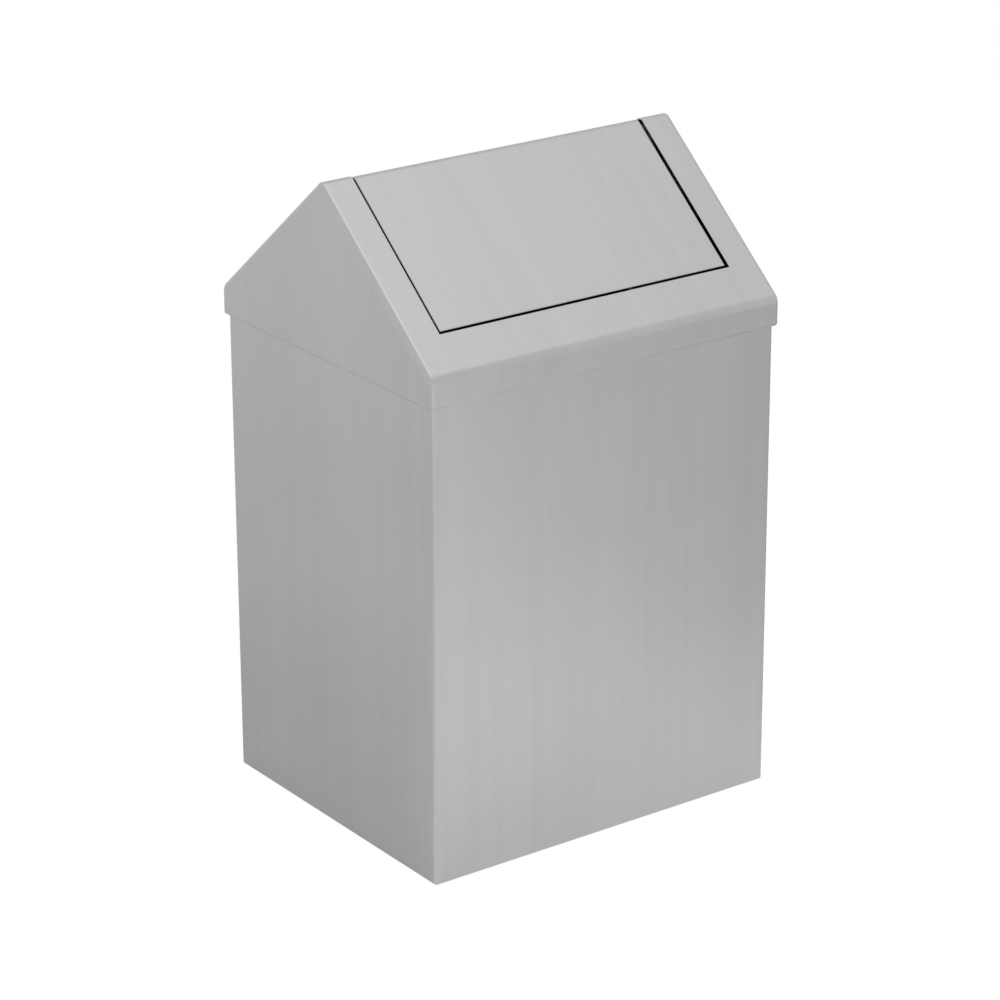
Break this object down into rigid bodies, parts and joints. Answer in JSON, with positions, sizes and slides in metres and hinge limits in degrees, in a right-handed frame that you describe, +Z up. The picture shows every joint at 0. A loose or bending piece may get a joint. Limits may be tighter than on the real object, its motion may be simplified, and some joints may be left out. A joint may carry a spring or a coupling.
{
  "type": "swing-top waste bin",
  "caption": "Free-standing waste bin of satin stainless sheet with a gable-roofed lift-off lid, a self-closing flap that swings over the ridge, and an inner bag frame.",
  "frame": {"origin": "on the floor, under the middle of the bin", "axes": "+Z up, +X along the ridge to the right as seen from the front, -Y towards the front"},
  "size_m": [0.376, 0.322, 0.6],
  "materials": {
    "stainless_sheet": "satin brushed",
    "plain_steel": "mill finish",
    "pin_steel": "bright zinc",
    "chromed_wire": "polished",
    "foot_rubber": "matt",
    "rivet_aluminium": "plain",
    "nylon": "moulded"
  },
  "bodies": {
    "body": {"bag_hook_front_left": "plain_steel", "bag_hook_front_right": "plain_steel", "bag_hook_rear_left": "plain_steel", "bag_hook_rear_right": "plain_steel", "base_pan": "stainless_sheet", "body_shell": "stainless_sheet", "foot_front_left": "foot_rubber", "foot_front_right": "foot_rubber", "foot_rear_left": "foot_rubber", "foot_rear_right": "foot_rubber", "foot_rivets": "rivet_aluminium", "rear_panel": "stainless_sheet"},
    "bag_frame": {"bag_frame": "chromed_wire"},
    "lid": {"lid_gable_left": "stainless_sheet", "lid_gable_right": "stainless_sheet", "lid_rest_front_left": "plain_steel", "lid_rest_front_right": "plain_steel", "lid_rest_rear_left": "plain_steel", "lid_rest_rear_right": "plain_steel", "lid_roof": "stainless_sheet", "pivot_clip_left": "pin_steel", "pivot_clip_right": "pin_steel", "pivot_hanger_left": "plain_steel", "pivot_hanger_right": "plain_steel", "pivot_pin_left": "pin_steel", "pivot_pin_right": "pin_steel", "pivot_spacer_left": "pin_steel", "pivot_spacer_right": "pin_steel"},
    "flap": {"flap_ear_left": "plain_steel", "flap_ear_right": "plain_steel", "flap_panel": "stainless_sheet", "pivot_bush_left": "nylon", "pivot_bush_right": "nylon"}
  },
  "joints": [
    {"name": "lid_lift", "type": "slide", "parent": "body", "child": "lid", "axis": [0, 0, 1], "range_m": [0, 0.25]},
    {"name": "flap_swing", "type": "hinge", "parent": "lid", "child": "flap", "pos_m": [0, 0, 0.57748], "axis": [1, 0, 0], "range_deg": [-70, 70]},
    {"name": "bag_frame_lift", "type": "slide", "parent": "body", "child": "bag_frame", "axis": [0, 0, 1], "range_m": [0, 0.03]}
  ]
}
